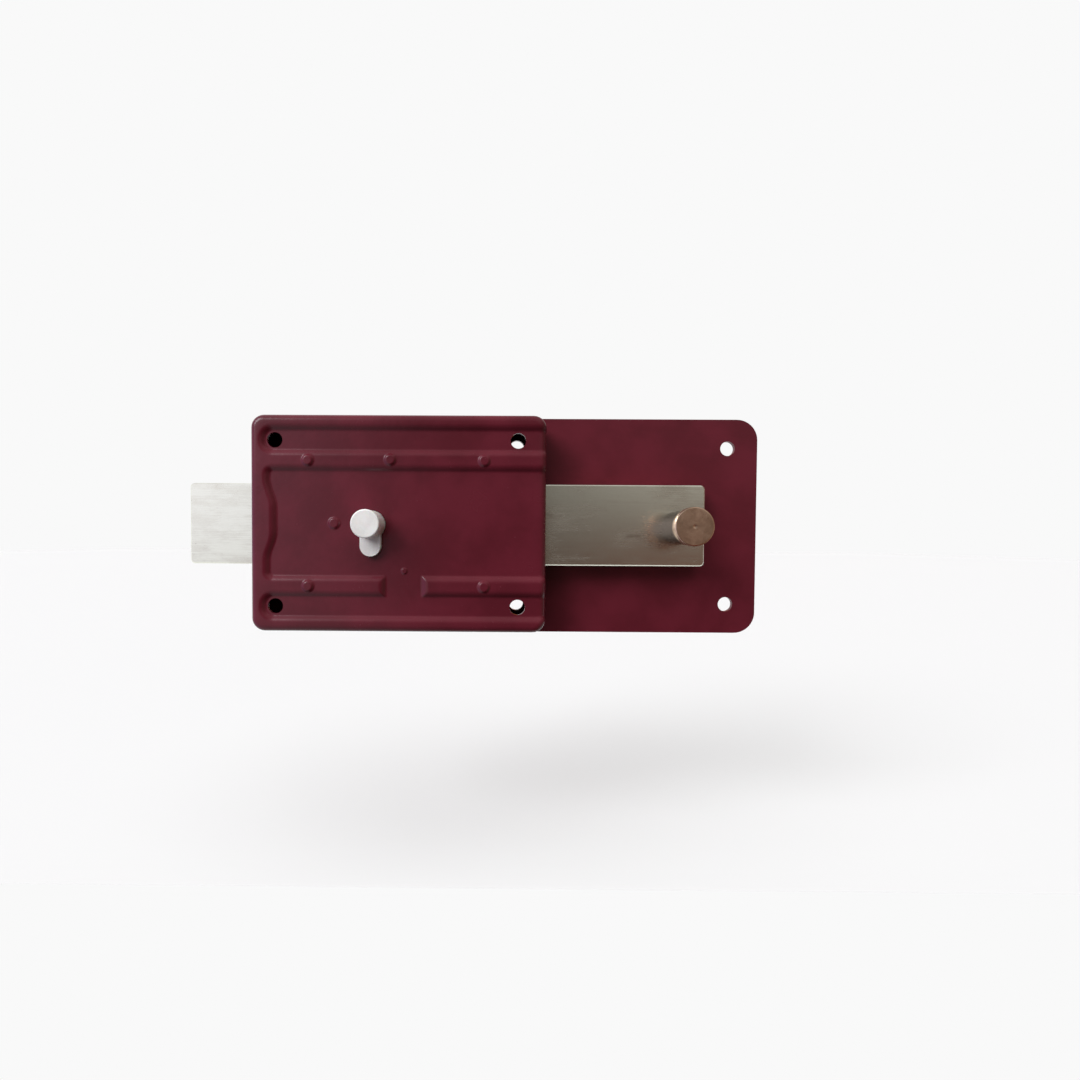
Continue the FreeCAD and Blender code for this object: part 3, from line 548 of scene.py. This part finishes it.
def plated(name, light, dark, gloss, lump=1.4):
    """Plated or turned metal; lump sets the size of its clouds and marks."""
    finish = Finish(name, Metallic=1.0)
    return finish.wears(*film(finish, lump * 5, lump * 0.3, light, dark, gloss), depth=0.02)


def screw_zinc():
    """Zinc with painted shade at the rim of the heads in the plate and in their recesses."""
    finish = Finish("zinc_screws", Metallic=1.0)
    colour, roughness, relief = film(finish, 4, 0.4, ZINC, ZINC_DULL, gloss=0.3)
    # Painted shade: the heads darken toward their rim in the countersink and deep in the cross
    # recess.
    across = finish.axis("X").size() - SCREW_AT[0]
    up = finish.axis("Z").size() - SCREW_AT[1]
    rim_shade = ((across * across + up * up) ** 0.5).ramp(*SCREW_RIM_SHADE)
    sunk = finish.axis("Y").ramp(*SCREW_RECESS_SHADE)
    colour = finish.blend(rim_shade.worked("MAXIMUM", rim_shade, sunk) * 0.85, colour, RECESS_SHADE)
    return finish.wears(colour, roughness, relief, depth=0.02)


zinc = screw_zinc()
works_steel = plated("works_steel", WORKS, WORKS_DARK, gloss=0.32)
dress(zinc, "plate_screws", "cylinder_screws")
dress(works_steel, "cover_pillar_1", "cover_pillar_2", "cover_pillar_3", "cover_pillar_4")


# Peened tab ends. Each tab's two corners are struck from the door side, so they spread in the
# slit and leave small bright dots of bare steel in the enamel.
DOT = 0.75
DOT_WIDTH = 0.8
DOT_RISE = 0.22
DOT_FROM_END = 0.1
BARE = linear(206, 190, 190)


def build_dots():
    """Low uneven domes, one at each end of each tab."""
    dots = bmesh.new()
    for low_x, high_x in TAB_X:
        for tab_z in (-TAB_Z, TAB_Z):
            for end in (-1, 1):
                dot_z = tab_z + end * (TAB_RISE / 2 - DOT_FROM_END)
                made = bmesh.ops.create_uvsphere(dots, u_segments=20, v_segments=10, radius=1.0)
                for v in made["verts"]:
                    ripple = 1 + 0.12 * math.sin(3 * math.atan2(v.co.z, v.co.x) + tab_z)
                    v.co.x = ((low_x + high_x) / 2 + v.co.x * DOT * DOT_WIDTH * ripple) * MM
                    v.co.y = v.co.y * DOT_RISE * MM
                    v.co.z = (dot_z + v.co.z * DOT * ripple) * MM
    return dots


bare_finish = Finish("bare_steel", Metallic=0.6)
bare_colour = bare_finish.blend(bare_finish.grain(0.5).ramp(0.4, 0.7), BARE, ENAMEL_WORN)
bare_steel = bare_finish.wears(bare_colour, 0.35 + bare_finish.grain(0.4) * 0.2,
                               bare_finish.grain(0.3), depth=0.03)
placed_piece("peened_dots", build_dots(), "lock_case", bare_steel)


# Bolt. A flat bar of cold drawn steel, 38 by 9 mm, sawn to length and deburred. Its faces keep
# the mill's long streaks, some oil stains and rub marks from the case. Its long narrow edges carry
# a painted warm reflection that makes them yellower. The guide pin is riveted in.
STEEL = linear(244, 246, 232)
STEEL_STAIN = linear(216, 214, 200)
STEEL_OIL = linear(150, 138, 122)
STEEL_EDGE_REFLECTION = linear(226, 190, 118)
STREAK = (14, 14, 0.16)
FINE_STREAK = (30, 1, 0.4)
STAIN = (1.6, 1, 0.7)
SMUDGE = (11, 11, 2.6)
NARROW_EDGE = (0.8, 0.95)     # how far a face looks up or down to count as one


def mill_steel():
    """Drawn steel: the stretches draw each kind of mark out along the bar."""
    finish = Finish("mill_steel", Metallic=1.0)
    streaks = finish.grain(1.6, 4, 0.6, STREAK)
    fine = finish.grain(0.35, 2, 0.5, FINE_STREAK)
    stain = finish.grain(17, 4, 0.65, STAIN)
    smudge = finish.grain(2.0, 3, 0.6, SMUDGE)
    pits = finish.grain(1.1, 1, 0.4).ramp(0.74, 0.80)
    dull = (stain * 0.6 + smudge * 0.25 + streaks * 0.25).ramp(0.48, 0.70)
    colour = finish.blend(dull * 0.75, STEEL, STEEL_STAIN)
    colour = finish.blend(stain.ramp(0.60, 0.74) * 0.55, colour, STEEL_OIL)
    colour = finish.blend(pits * 0.6, colour, STEEL_OIL)
    # Painted reflection: faces that look up or down are tinted yellow.
    facing = finish.node("ShaderNodeTexCoord", output="Normal")
    narrow = finish.axis("Z", facing).size().ramp(*NARROW_EDGE)
    colour = finish.blend(narrow * 0.8, colour, STEEL_EDGE_REFLECTION)
    relief = streaks * 0.6 + fine * 0.35 - pits * 0.5
    return finish.wears(colour, 0.17 + streaks * 0.07 + dull * 0.10, relief, depth=0.010)


mill = mill_steel()
dress(mill, "bolt")
dress(works_steel, "guide_pin")


# Knob. Turned from steel bar on a lathe and riveted into the bolt. The tool leaves fine rings on
# its flat end, with a small centre point, and light bands round the shank. The shank carries a
# painted shade from the head above it.
KNOB_X = 130.95
KNOB_DROP = 0.9
KNOB_SHANK = 7.8
KNOB_HEAD = 8.5
KNOB_LEVELS = (11.02, 30.0, 30.5, 31.0, 35.0)      # foot, neck, groove, head's back and face
KNOB_GROOVE = 0.5
KNOB_BREAK = 0.2
KNOB_CHAMFER = (0.4, 0.12)    # its size, and how far its middle lies in from the head's corner
KNOB_RIM = 0.6
KNOB_POINT = ((1.1, 0), (0.9, 0), (0.5, 0.1), (0, 0.2))      # radii and depths
KNOB_STEEL = linear(236, 208, 184)
KNOB_SHADE = linear(192, 162, 138)
KNOB_RING = 0.3
KNOB_BAND = 0.8
KNOB_CENTRE = (0.35, 0.8)
SHANK_SHADE = linear(106, 85, 71)
SHANK_FROM = (-12.2, -13.4)
SHANK_TO = (-30.6, -30.2)


def turned(x, z, profile, count=96):
    """Solid turned about an axis into the door, from its radii and levels above the plate."""
    mesh = bmesh.new()
    rows = []
    for radius, level in profile:
        spin = count if radius else 1
        rows.append([mesh.verts.new(((x + radius * math.cos(2 * math.pi * step / spin)) * MM,
                                     -(PLATE + level) * MM,
                                     (z + radius * math.sin(2 * math.pi * step / spin)) * MM))
                     for step in range(spin)])
    for lower, upper in zip(rows, rows[1:]):
        for step in range(count):
            after = (step + 1) % count
            corners = [lower[step % len(lower)], lower[after % len(lower)],
                       upper[after % len(upper)], upper[step % len(upper)]]
            mesh.faces.new(list(dict.fromkeys(corners)))
    bmesh.ops.recalc_face_normals(mesh, faces=mesh.faces)
    return mesh


def build_knob():
    """Shank with a groove under its head, and a flat head with a softened edge."""
    foot, neck, groove, under, top = KNOB_LEVELS
    chamfer, middle = KNOB_CHAMFER
    profile = [(0, foot), (KNOB_SHANK, foot), (KNOB_SHANK, neck),
               (KNOB_SHANK - KNOB_GROOVE, groove), (KNOB_SHANK - KNOB_GROOVE, under),
               (KNOB_HEAD - KNOB_BREAK, under), (KNOB_HEAD, under + KNOB_BREAK),
               (KNOB_HEAD, top - chamfer), (KNOB_HEAD - middle, top - middle),
               (KNOB_HEAD - chamfer, top), (KNOB_HEAD - KNOB_RIM, top)]
    profile += [(radius, top - depth) for radius, depth in KNOB_POINT]
    return turned(KNOB_X, -KNOB_DROP, profile)


def knob_steel():
    """Turned steel with a warm film, pale at the centre point, with painted shade down the shank.
    """
    finish = Finish("turned_steel", Metallic=1.0)
    across = finish.axis("X") - KNOB_X
    up = finish.axis("Z") + KNOB_DROP
    reach = (across * across + up * up) ** 0.5
    rings = (reach * (2 * math.pi / KNOB_RING) + finish.grain(6) * 2.5).wave() * 0.5 + 0.5
    level = finish.axis("Y")
    bands = (level * (2 * math.pi / KNOB_BAND)).wave() * 0.5 + 0.5
    film = finish.grain(3.5, 4, 0.6)
    centre = 1 - reach.ramp(*KNOB_CENTRE)
    colour = finish.blend((film * 0.8 + rings * 0.25).ramp(0.35, 0.75), KNOB_STEEL, KNOB_SHADE)
    colour = finish.blend(centre * 0.6, colour, KNOB_STEEL)
    # Painted shade: the shank under the head is coloured darker.
    shank = level.ramp(*SHANK_FROM) * level.ramp(*SHANK_TO)
    colour = finish.blend(shank, colour, SHANK_SHADE)
    relief = rings * 0.6 + bands * 0.2 + film * 0.2
    return finish.wears(colour, 0.16 + film * 0.10 + rings * 0.04, relief, depth=0.014)


knob = placed_piece("turned_knob", build_knob(), "bolt", knob_steel(), crease=30)
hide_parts("bolt_knob")


# Key cylinder. The body and the plug are turned from brass bar, drilled for five pin stacks and
# closed below by pressed caps. Two screws through the plate hold the body.
BRASS = linear(214, 188, 132)
BRASS_DEEP = linear(198, 168, 110)
BRASS_DULL = linear(158, 134, 92)
BRASS_CAP_SHADE = linear(96, 74, 46)
CYLINDER_AT = (-2.4, 21.9)
CYLINDER_RADIUS = 14.8
BARREL_BAND = 0.9
PLUG_Z = 26.8
PLUG_RADIUS = 8.6
PLUG_GAP = (0.16, 0.04)
# Dark of the joint round the plug, also used as painted shade on the chamber caps
JOINT_AND_SHADE_DARK = linear(46, 34, 20)


def turned_brass(name, centre_z, gloss, turning):
    """Turned brass with rings on its end face, bands round its barrel and a warm tarnish."""
    finish = Finish(name, Metallic=1.0)
    across = finish.axis("X") - CYLINDER_AT[0]
    up = finish.axis("Z") - centre_z
    reach = (across * across + up * up) ** 0.5
    rings = (reach * (2 * math.pi / turning) + finish.grain(5) * 3).wave() * 0.5 + 0.5
    bands = finish.axis("Y") * (2 * math.pi / BARREL_BAND) + finish.grain(4) * 4
    bands = bands.wave() * 0.5 + 0.5
    tarnish = finish.grain(9, 4, 0.65)
    fleck = finish.grain(0.8, 2, 0.6)
    colour = finish.blend(tarnish.ramp(0.36, 0.66), BRASS, BRASS_DEEP)
    colour = finish.blend(fleck.ramp(0.66, 0.78) * 0.5, colour, BRASS_DULL)
    plug_gap = ((finish.axis("Z") - PLUG_Z) ** 2.0 + across * across) ** 0.5 - PLUG_RADIUS
    colour = finish.blend(plug_gap.size().ramp(*PLUG_GAP), colour, JOINT_AND_SHADE_DARK)
    relief = rings * 0.3 + bands * 0.3 + fleck * 0.25
    return finish.wears(colour, gloss + tarnish * 0.14 + fleck * 0.05, relief, depth=0.014)


body_brass = turned_brass("cylinder_brass", CYLINDER_AT[1], gloss=0.20, turning=0.5)
plug_brass = turned_brass("plug_brass", PLUG_Z, gloss=0.18, turning=0.36)
dress(body_brass, "cylinder_body")
dress(plug_brass, "cylinder_plug")
pin_brass = plated("pin_brass", BRASS, BRASS_DEEP, gloss=0.22, lump=0.5)
# Painted shade: the chamber caps are coloured dark for the shade deep in the pin holes.
shaded_cap_brass = plated("shaded_cap_brass", BRASS_CAP_SHADE, JOINT_AND_SHADE_DARK, gloss=0.4, lump=0.5)
spring_steel = plated("spring_steel", ZINC, WORKS, gloss=0.24, lump=0.5)
for place in "12345":
    dress(pin_brass, "bottom_pin_" + place, "driver_pin_" + place)
    dress(shaded_cap_brass, "chamber_cap_" + place)
    dress(spring_steel, "pin_spring_" + place)


# Inspection dab. One stroke of thick yellow paint across the side of the barrel, which stands up
# a little and is thinner where the brush left it.
DAB_ANGLE = (6.0, 46.0)
DAB_Y = (8.5, 18.5)
DAB_RISE = 0.12
DAB_FILM = 0.02
DAB_CLEAR = 0.01
DAB_LEAN = 0.35
DAB_STEPS = (28, 36)
YELLOW = linear(226, 208, 24)
YELLOW_THIN = linear(196, 176, 24)


def build_dab():
    """Rounded square patch, bent round the barrel and leaning with the brush's stroke."""
    dab = bmesh.new()
    across, along = DAB_STEPS
    centre_angle = sum(DAB_ANGLE) / 2
    half_angle = (DAB_ANGLE[1] - DAB_ANGLE[0]) / 2
    centre_y = sum(DAB_Y) / 2
    half_y = (DAB_Y[1] - DAB_Y[0]) / 2
    skins = []
    for lift in (1.0, 0.0):
        rows = []
        for i in range(across + 1):
            row = []
            for j in range(along + 1):
                u = 2 * i / across - 1
                v = 2 * j / along - 1
                round_u = u * math.sqrt(1 - v * v / 2)
                round_v = v * math.sqrt(1 - u * u / 2)
                angle = math.radians(centre_angle + half_angle * (round_u + DAB_LEAN * round_v))
                y = centre_y + half_y * round_v
                away = math.hypot(round_u, round_v)
                stroke = 1 + 0.3 * math.sin(9 * round_v + 2 * round_u)
                thick = DAB_RISE * max(0.0, 1 - away ** 6) ** 0.5 * stroke
                out = CYLINDER_RADIUS + DAB_CLEAR + lift * (DAB_FILM + thick)
                row.append(dab.verts.new(((CYLINDER_AT[0] + out * math.cos(angle)) * MM, y * MM,
                                          (CYLINDER_AT[1] + out * math.sin(angle)) * MM)))
            rows.append(row)
        skins.append(rows)
    top, base = skins
    for i in range(across):
        for j in range(along):
            dab.faces.new((top[i][j], top[i + 1][j], top[i + 1][j + 1], top[i][j + 1]))
            dab.faces.new((base[i][j], base[i][j + 1], base[i + 1][j + 1], base[i + 1][j]))
    for i in range(across):
        for j in (0, along):
            dab.faces.new((top[i][j], top[i + 1][j], base[i + 1][j], base[i][j]))
    for j in range(along):
        for i in (0, across):
            dab.faces.new((top[i][j], top[i][j + 1], base[i][j + 1], base[i][j]))
    bmesh.ops.recalc_face_normals(dab, faces=dab.faces)
    return dab


paint_finish = Finish("yellow_paint", IOR=1.5)
brushed = paint_finish.grain(1.2, 3, 0.6, (0.5, 5, 0.5))
paint_colour = paint_finish.blend(brushed.ramp(0.4, 0.7), YELLOW, YELLOW_THIN)
yellow_paint = paint_finish.wears(paint_colour, 0.38 + brushed * 0.2, brushed, depth=0.06)
placed_piece("paint_dab", build_dab(), "lock_case", yellow_paint)


# Cam and its clip. A sintered steel cam with one finger sits on the plug's square tail, held by
# an open spring clip. One turn of the key pushes the bolt one notch. The latch lever's pieces and
# the button's spring are of the same two steels.
dress(works_steel, "plug_cam", "lever_pivot", "spring_rivet", "latch_pin", "locking_lever")
dress(spring_steel, "cam_clip", "lever_clip", "lever_spring", "button_spring")


# Release button. Moulded in one piece of off-white plastic: a tall round head with a low lobe
# below it. It is slightly glossy and duller in cloudy patches.
PLASTIC = linear(244, 244, 240)
PLASTIC_DULL = linear(232, 231, 227)


def moulded_plastic():
    """Off-white plastic that lets a little light in under its skin."""
    finish = Finish("white_plastic", IOR=1.46, Subsurface_Weight=0.06, Subsurface_Scale=0.002)
    cloud = finish.grain(7, 3, 0.5)
    fine = finish.grain(0.7, 2, 0.6)
    colour = finish.blend((cloud + fine * 0.3).ramp(0.5, 0.85), PLASTIC, PLASTIC_DULL)
    return finish.wears(colour, 0.36 + cloud * 0.12 + fine * 0.06, fine * 0.5 + cloud, depth=0.03)


dress(moulded_plastic(), "release_button")


# Inspection label. Yellow paper with a printed grid of thin ruled lines and nothing written in it,
# stuck a little askew on the plate's door side.
LABEL_CORNER = (31.0, -9.6)
LABEL_SIZE = (38.0, 17.2)
LABEL_TILT = 4.0
PAPER = linear(184, 172, 36)
PAPER_DULL = linear(168, 154, 38)
INK = linear(92, 84, 40)
RULE = 0.16
RULE_INSET = 1.2              # from the label's edge to its ruled frame
RULE_ENDS = 1.1               # no ink nearer the label's edge than this
COLUMN = 11.6
ROW_BREAK = 8.6
HALF_COLUMN = 23.4


def label_paper():
    """Yellow paper with a ruled frame, one column, one row right of it and a short column."""
    finish = Finish("label_paper", IOR=1.45)
    turn = math.radians(LABEL_TILT)
    right = finish.axis("X") - LABEL_CORNER[0]
    up = finish.axis("Z") - LABEL_CORNER[1]
    along = 0 - (right * math.cos(turn) - up * math.sin(turn))
    down = 0 - (right * math.sin(turn) + up * math.cos(turn))
    ink = 0
    within = 1
    for way, length in ((along, LABEL_SIZE[0]), (down, LABEL_SIZE[1])):
        for line in (way - RULE_INSET, way - (length - RULE_INSET)):
            ink = ink + line.size().below(RULE)
        within = (0 - way).below(-RULE_ENDS) * (way - length).below(-RULE_ENDS) * within
    ink = ink + (along - COLUMN).size().below(RULE)
    ink = ink + (down - ROW_BREAK).size().below(RULE) * (COLUMN - along).below(0)
    ink = ink + (along - HALF_COLUMN).size().below(RULE) * down.below(ROW_BREAK)
    fibre = finish.grain(0.6, 4, 0.7)
    cloud = finish.grain(9, 3, 0.5)
    paper = finish.blend((cloud + fibre * 0.3).ramp(0.5, 0.85), PAPER, PAPER_DULL)
    colour = finish.blend(ink * within * (0.75 + fibre * 0.3), paper, INK)
    return finish.wears(colour, 0.5 + fibre * 0.2, fibre, depth=0.015)


dress(label_paper(), "blank_label")


# Studio. A pale floor below and behind the lock. The steel mirrors a room that is bright to the
# left, dim above, dark and warm to the right, and pale on the door side. Three broad lamps stand
# at the upper left, overhead and on the door side.
FLOOR_LEVEL = -170.0
FLOOR_X = (-6.0, 6.0)
FLOOR_Y = (-0.02, 9.0)
PALE = linear(249, 249, 249)
FLOOR_PALE = linear(215, 216, 216)
ROOM_LEFT = (0.92, 0.90, 1.0, 1.0)
ROOM_LOW = (0.74, 0.73, 0.76, 1.0)
ROOM_ABOVE = (0.46, 0.43, 0.40, 1.0)
ROOM_DARK = (0.050, 0.046, 0.040, 1.0)
ROOM_WARM = (0.115, 0.035, 0.018, 1.0)
ROOM_SIDE = (0.75, 0.66, 1.0, 1.0)
ROOM_RIGHT = (0.30, 0.22, 0.17, 1.0)
ROOM_EDGE = (0.62, 0.22, 0.08, 1.0)
ROOM_LIGHT = 0.42
# Where one colour of the room gives way to the next, as shares of a direction along one axis
LEFT_EDGE = (-0.08, -0.42)
LEFT_LOW = (0.02, -0.08)
LEFT_SIDE = (-0.45, -0.75)
RIGHT_EDGE = (-0.02, 0.34)
RIGHT_SIDE = (0.4, 0.7)
ABOVE_EDGE = (-0.03, 0.15)
BELOW_EDGE = (0.05, -0.05)
CEILING = (0.3, 0.9)
ROOM_SIDE_EDGE = (-0.9, -0.6)
DOOR_LEFT = (0.08, -0.08)
DOOR_NEAR = (0.0, 0.4)
DOOR_FAR = (0.2, 0.6)
DOOR_EDGE = (0.85, 0.95)
DOOR_RIGHT = (0.0, 0.05)
ABOVE_LEAST = 0.22            # what is left of a colour where the room's right edge hides it
WARM_LEAST = 0.2
CEILING_SHARE = 0.3
DOOR_SHARE = 0.35
floor_mesh = bmesh.new()
floor_outline = ((FLOOR_X[0], FLOOR_Y[0]), (FLOOR_X[1], FLOOR_Y[0]),
                 (FLOOR_X[1], FLOOR_Y[1]), (FLOOR_X[0], FLOOR_Y[1]))
floor_mesh.faces.new([floor_mesh.verts.new((x, y, FLOOR_LEVEL * MM)) for x, y in floor_outline])
floor_data = bpy.data.meshes.new("floor")
floor_mesh.to_mesh(floor_data)
floor_mesh.free()
floor = bpy.data.objects.new("floor", floor_data)
bpy.context.scene.collection.objects.link(floor)
floor_finish = Finish("pale_floor", Roughness=0.9)
floor_data.materials.append(floor_finish.wears(FLOOR_PALE))

world = bpy.data.worlds.new("pale_room")
bpy.context.scene.world = world
world.use_nodes = True
room = Nodes(world.node_tree, "Generated")
across = room.axis("X")
door = room.axis("Y")
up = room.axis("Z")
left = across.ramp(*LEFT_EDGE)
right = across.ramp(*RIGHT_EDGE)
lit_above = ABOVE_LEAST + right * (1 - ABOVE_LEAST)
lit_below = WARM_LEAST + right * (1 - WARM_LEAST)
colour = room.blend(up.ramp(*ABOVE_EDGE) * lit_above, ROOM_DARK, ROOM_ABOVE)
colour = room.blend(lit_below * up.ramp(*BELOW_EDGE), colour, ROOM_WARM)
colour = room.blend(across.ramp(*RIGHT_SIDE), colour, ROOM_RIGHT)
colour = room.blend(left, colour, ROOM_LEFT)
colour = room.blend(left * up.ramp(*LEFT_LOW), colour, ROOM_LOW)
colour = room.blend(across.ramp(*LEFT_SIDE) * door.ramp(*ROOM_SIDE_EDGE), colour, ROOM_SIDE)
colour = room.blend(up.ramp(*CEILING) * CEILING_SHARE, colour, PALE)
colour = room.blend(door.ramp(*DOOR_NEAR) * across.ramp(*DOOR_LEFT), colour, PALE)
colour = room.blend(door.ramp(*DOOR_FAR) * DOOR_SHARE, colour, PALE)
colour = room.blend(door.ramp(*DOOR_EDGE) * across.ramp(*DOOR_RIGHT), colour, ROOM_EDGE)
camera_ray, through_ray, mirror_ray = (
    room.node("ShaderNodeLightPath", output="Is %s Ray" % kind)
    for kind in ("Camera", "Transmission", "Glossy"))
plain = room.node("ShaderNodeMath", {"operation": "MAXIMUM"}, {0: camera_ray, 1: through_ray})
seen = room.node("ShaderNodeMath", {"operation": "MAXIMUM"}, {0: plain, 1: mirror_ray})
backdrop = world.node_tree.nodes["Background"]
room.feed(room.blend(plain, colour, PALE), backdrop.inputs["Color"])
room.feed(seen.ramp(0, 1, ROOM_LIGHT, 1.0), backdrop.inputs["Strength"])


def lamp(name, turn, rise, spread, power, colour=(1.0, 1.0, 1.0), mirrored=True):
    """Far, broad lamp; turn is its bearing from the room side toward the left, in degrees, and
    mirrored says whether polished faces show it."""
    data = bpy.data.lights.new(name, "SUN")
    data.energy = power
    data.angle = math.radians(spread)
    data.color = colour
    made = bpy.data.objects.new(name, data)
    turn = math.radians(turn)
    rise = math.radians(rise)
    place = Vector((-math.sin(turn) * math.cos(rise), -math.cos(turn) * math.cos(rise),
                    math.sin(rise)))
    made.location = place
    made.rotation_euler = place.to_track_quat("Z", "Y").to_euler()
    made.visible_glossy = mirrored
    bpy.context.scene.collection.objects.link(made)


lamp("window", turn=46, rise=30, spread=30, power=1.95, colour=(0.98, 0.98, 1.0))
lamp("overhead", turn=8, rise=62, spread=64, power=1.9, mirrored=False)
lamp("door_side", turn=215, rise=35, spread=50, power=1.6, colour=(1.0, 0.98, 0.95),
     mirrored=False)

# The camera stands square in front of the room side, a little right of the middle, as the
# photograph was taken.
CAMERA_LENS = 19.3
CAMERA_SENSOR = 36.0
CAMERA_SHIFT = (0.0446, 0.015)
CAMERA_AT = (0.0456, -0.2863, -0.0074)
CAMERA_TURN = (88.452, -0.338, 0.406)
NEAREST = 0.01
camera_data = bpy.data.cameras.new("camera")
camera_data.lens = CAMERA_LENS
camera_data.sensor_width = CAMERA_SENSOR
camera_data.shift_x, camera_data.shift_y = CAMERA_SHIFT
camera_data.clip_start = NEAREST
camera = bpy.data.objects.new("camera", camera_data)
camera.location = CAMERA_AT
camera.rotation_euler = [math.radians(angle) for angle in CAMERA_TURN]
bpy.context.scene.collection.objects.link(camera)
bpy.context.scene.camera = camera
bpy.context.scene.view_settings.view_transform = "Standard"
